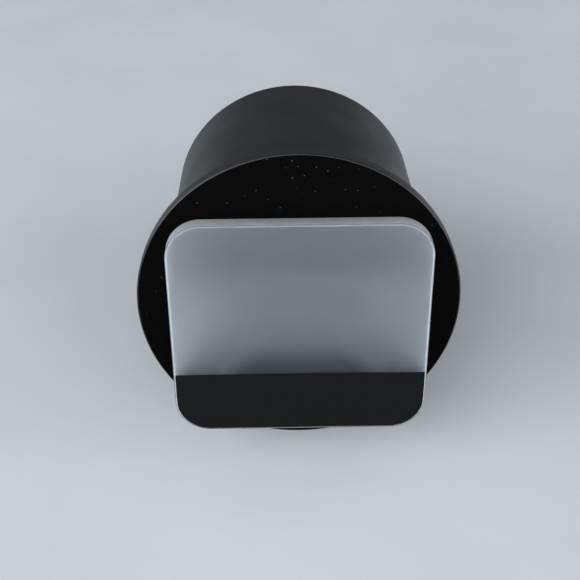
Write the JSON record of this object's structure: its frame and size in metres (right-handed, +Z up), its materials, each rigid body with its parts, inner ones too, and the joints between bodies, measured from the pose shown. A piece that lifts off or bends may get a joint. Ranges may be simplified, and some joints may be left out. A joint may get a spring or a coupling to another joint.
{
  "type": "slide duplicator",
  "caption": "Telescoping tube that screws to a copying lens and holds a mounted slide between a black disc with a film window and a milky diffusing plate.",
  "frame": {"origin": "on the optical axis, at the shoulder of the lens ring that seats against the lens", "axes": "+Y along the optical axis towards the lens, -Y towards the light and the picture's viewer, +Z up through the open top of the slide slot, +X to the viewer's right"},
  "size_m": [0.075, 0.0761, 0.075],
  "materials": {
    "black_anodised": "fine satin black anodising",
    "black_steel": "blackened screw steel",
    "black_felt": "short dense felt",
    "black_plastic": "fine moulded black",
    "opal_acrylic": "polished opal acrylic that passes soft light",
    "band_film": "plain black printed band, no lettering",
    "spring_steel": "rolled spring strip",
    "bearing_plastic": "turned black acetal"
  },
  "bodies": {
    "lens_tube": {"inner_tube": "black_anodised", "lens_ring": "black_anodised", "lens_ring_screws": "black_steel"},
    "bearing_ring": {"bearing_ring": "bearing_plastic"},
    "slide_head": {"front_disc": "black_anodised", "outer_barrel": "black_anodised", "barrel_set_screws": "black_steel", "end_sleeve": "black_anodised", "felt_lining": "black_felt", "slide_rest": "black_plastic", "slide_rest_screws": "black_steel", "diffuser_plate": "opal_acrylic", "front_band": "band_film", "clip_foot_left": "spring_steel", "clip_foot_right": "spring_steel", "clip_rivets": "spring_steel"},
    "clip_leaf_left": {"clip_leaf_left": "spring_steel"},
    "clip_leaf_right": {"clip_leaf_right": "spring_steel"}
  },
  "joints": [
    {"name": "head_turn", "type": "hinge", "parent": "lens_tube", "child": "bearing_ring", "pos_m": [0, -0.0476, 0], "axis": [0, 1, 0], "continuous": true},
    {"name": "head_slide", "type": "slide", "parent": "bearing_ring", "child": "slide_head", "axis": [0, -1, 0], "range_m": [0, 0.03]},
    {"name": "clip_left_bend", "type": "hinge", "parent": "slide_head", "child": "clip_leaf_left", "pos_m": [-0.025, -0.0684, -0.0119], "axis": [1, 0, 0], "range_deg": [0, 7.5], "stiffness_Nm_per_rad": 0.1},
    {"name": "clip_right_bend", "type": "hinge", "parent": "slide_head", "child": "clip_leaf_right", "pos_m": [0.025, -0.0684, -0.0119], "axis": [1, 0, 0], "range_deg": [0, 7.5], "stiffness_Nm_per_rad": 0.1}
  ]
}
